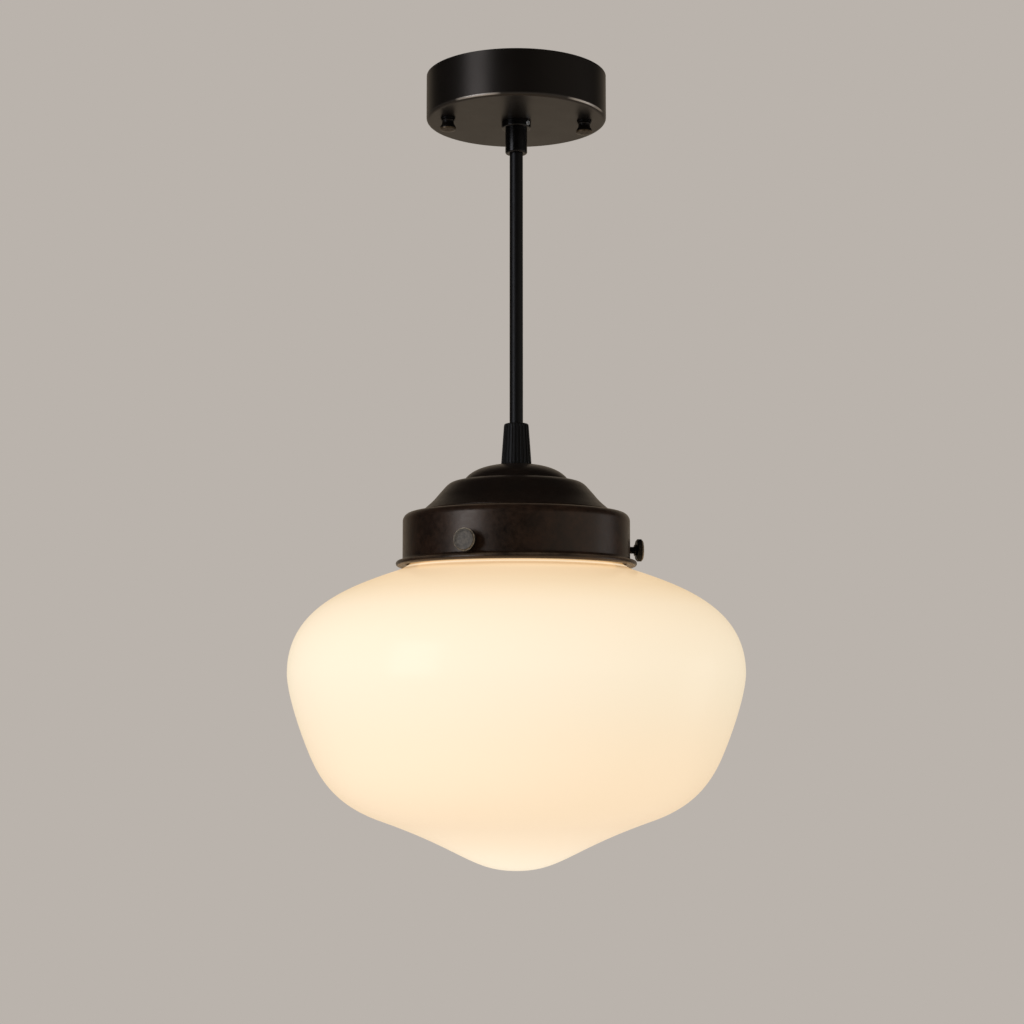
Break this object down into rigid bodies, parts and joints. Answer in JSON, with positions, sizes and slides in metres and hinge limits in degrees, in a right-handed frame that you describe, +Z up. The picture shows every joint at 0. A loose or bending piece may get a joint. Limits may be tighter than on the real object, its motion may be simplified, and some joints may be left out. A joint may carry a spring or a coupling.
{
  "type": "glass pendant light",
  "caption": "Pendant light: an opal glass shade with a pointed bottom in a stepped dark bronze holder, hung on a short round cord from a flat round ceiling canopy.",
  "frame": {"origin": "middle of the canopy at the ceiling, between the two slots for the ceiling box screws", "axes": "+Z up into the ceiling, the lamp hangs along -Z; -Y is the front, +X is to the right seen from the front"},
  "size_m": [0.2514, 0.2514, 0.4444],
  "materials": {
    "zinc_plated_steel": "zinc plated",
    "green_steel": "green passivated",
    "canopy_steel": "satin black bronze",
    "holder_steel": "satin dark bronze",
    "nut_steel": "black bronze, worn",
    "thumbscrew_steel": "dark bronze, worn edges",
    "black_nylon": "moulded",
    "cord_sheath": "smooth sheath",
    "black_wire": "smooth",
    "white_wire": "smooth",
    "green_wire": "smooth",
    "connector_plastic": "moulded",
    "black_phenolic": "moulded",
    "block_ceramic": "unglazed",
    "contact_brass": "plain",
    "tip_nylon": "moulded",
    "opal_glass": "opal, glossy",
    "black_glass": "cast",
    "nickel_cap": "nickel plated",
    "lamp_plastic": "moulded",
    "lamp_glass": "frosted"
  },
  "bodies": {
    "canopy": {"mounting_plate": "zinc_plated_steel", "plate_studs": "zinc_plated_steel", "stud_locknuts": "zinc_plated_steel", "ground_screw": "green_steel", "canopy": "canopy_steel", "canopy_grip": "black_nylon", "grip_toothed_washer": "zinc_plated_steel", "grip_locknut": "zinc_plated_steel", "grip_side_screw": "zinc_plated_steel", "cord_top": "cord_sheath", "wire_live": "black_wire", "wire_neutral": "white_wire", "wire_earth": "green_wire", "wire_connectors": "connector_plastic"},
    "cord_bend": {"cord_bend": "cord_sheath"},
    "pendant": {"cord": "cord_sheath", "lower_grip": "black_nylon", "cord_tail": "cord_sheath", "threaded_tube": "zinc_plated_steel", "holder": "holder_steel", "holder_washer": "zinc_plated_steel", "holder_locknut": "zinc_plated_steel", "socket_cap": "black_phenolic", "socket_block": "block_ceramic", "socket_body": "black_phenolic", "socket_shell": "contact_brass", "socket_contact": "contact_brass", "socket_screws": "contact_brass", "lamp_wires": "black_wire", "glass_shade": "opal_glass"},
    "nut_washer_left": {"nut_washer_left": "nut_steel"},
    "canopy_nut_left": {"canopy_nut_left": "nut_steel"},
    "nut_washer_right": {"nut_washer_right": "nut_steel"},
    "canopy_nut_right": {"canopy_nut_right": "nut_steel"},
    "screw_tip_front": {"screw_tip_front": "tip_nylon"},
    "thumbscrew_front": {"thumbscrew_front": "thumbscrew_steel"},
    "screw_tip_right": {"screw_tip_right": "tip_nylon"},
    "thumbscrew_right": {"thumbscrew_right": "thumbscrew_steel"},
    "screw_tip_back": {"screw_tip_back": "tip_nylon"},
    "thumbscrew_back": {"thumbscrew_back": "thumbscrew_steel"},
    "lamp_contact": {"lamp_contact": "contact_brass"},
    "lamp": {"lamp_insulator": "black_glass", "lamp_cap": "nickel_cap", "lamp_housing": "lamp_plastic", "lamp_globe": "lamp_glass"}
  },
  "joints": [
    {"name": "swing_front_back", "type": "hinge", "parent": "canopy", "child": "cord_bend", "pos_m": [0, 0, -0.0523], "axis": [1, 0, 0], "range_deg": [-40, 40]},
    {"name": "swing_side_to_side", "type": "hinge", "parent": "cord_bend", "child": "pendant", "pos_m": [0, 0, -0.0683], "axis": [0, 1, 0], "range_deg": [-40, 40]},
    {"name": "canopy_nut_left_lower", "type": "slide", "parent": "canopy", "child": "nut_washer_left", "axis": [0, 0, -1], "range_m": [0, 0.0044]},
    {"name": "canopy_nut_left_turn", "type": "hinge", "parent": "nut_washer_left", "child": "canopy_nut_left", "pos_m": [-0.03838, -0.00862, -0.03], "axis": [0, 0, -1], "range_deg": [0, 1996]},
    {"name": "canopy_nut_right_lower", "type": "slide", "parent": "canopy", "child": "nut_washer_right", "axis": [0, 0, -1], "range_m": [0, 0.0044]},
    {"name": "canopy_nut_right_turn", "type": "hinge", "parent": "nut_washer_right", "child": "canopy_nut_right", "pos_m": [0.03838, -0.00258, -0.03], "axis": [0, 0, -1], "range_deg": [0, 1996]},
    {"name": "thumbscrew_front_back_out", "type": "slide", "parent": "pendant", "child": "screw_tip_front", "axis": [-0.3907, -0.9205, 0], "range_m": [0, 0.0042]},
    {"name": "thumbscrew_front_turn", "type": "hinge", "parent": "screw_tip_front", "child": "thumbscrew_front", "pos_m": [-0.02344, -0.05523, -0.2685], "axis": [-0.3907, -0.9205, 0], "range_deg": [0, 1905]},
    {"name": "thumbscrew_right_back_out", "type": "slide", "parent": "pendant", "child": "screw_tip_right", "axis": [0.9925, 0.1219, 0], "range_m": [0, 0.0042]},
    {"name": "thumbscrew_right_turn", "type": "hinge", "parent": "screw_tip_right", "child": "thumbscrew_right", "pos_m": [0.05955, 0.00731, -0.2685], "axis": [0.9925, 0.1219, 0], "range_deg": [0, 1905]},
    {"name": "thumbscrew_back_back_out", "type": "slide", "parent": "pendant", "child": "screw_tip_back", "axis": [-0.6018, 0.7986, 0], "range_m": [0, 0.0042]},
    {"name": "thumbscrew_back_turn", "type": "hinge", "parent": "screw_tip_back", "child": "thumbscrew_back", "pos_m": [-0.03611, 0.04792, -0.2685], "axis": [-0.6018, 0.7986, 0], "range_deg": [0, 1905]},
    {"name": "lamp_lower", "type": "slide", "parent": "pendant", "child": "lamp_contact", "axis": [0, 0, -1], "range_m": [0, 0.0165]},
    {"name": "lamp_unscrew", "type": "hinge", "parent": "lamp_contact", "child": "lamp", "pos_m": [0, 0, -0.2814], "axis": [0, 0, -1], "range_deg": [0, 1638]}
  ],
  "couplings": [
    {"joint": "canopy_nut_left_turn", "follows": "canopy_nut_left_lower", "rad_per_m": 7913.3},
    {"joint": "canopy_nut_right_turn", "follows": "canopy_nut_right_lower", "rad_per_m": 7913.3},
    {"joint": "thumbscrew_front_turn", "follows": "thumbscrew_front_back_out", "rad_per_m": 7913.3},
    {"joint": "thumbscrew_right_turn", "follows": "thumbscrew_right_back_out", "rad_per_m": 7913.3},
    {"joint": "thumbscrew_back_turn", "follows": "thumbscrew_back_back_out", "rad_per_m": 7913.3},
    {"joint": "lamp_unscrew", "follows": "lamp_lower", "rad_per_m": 1731.4}
  ]
}
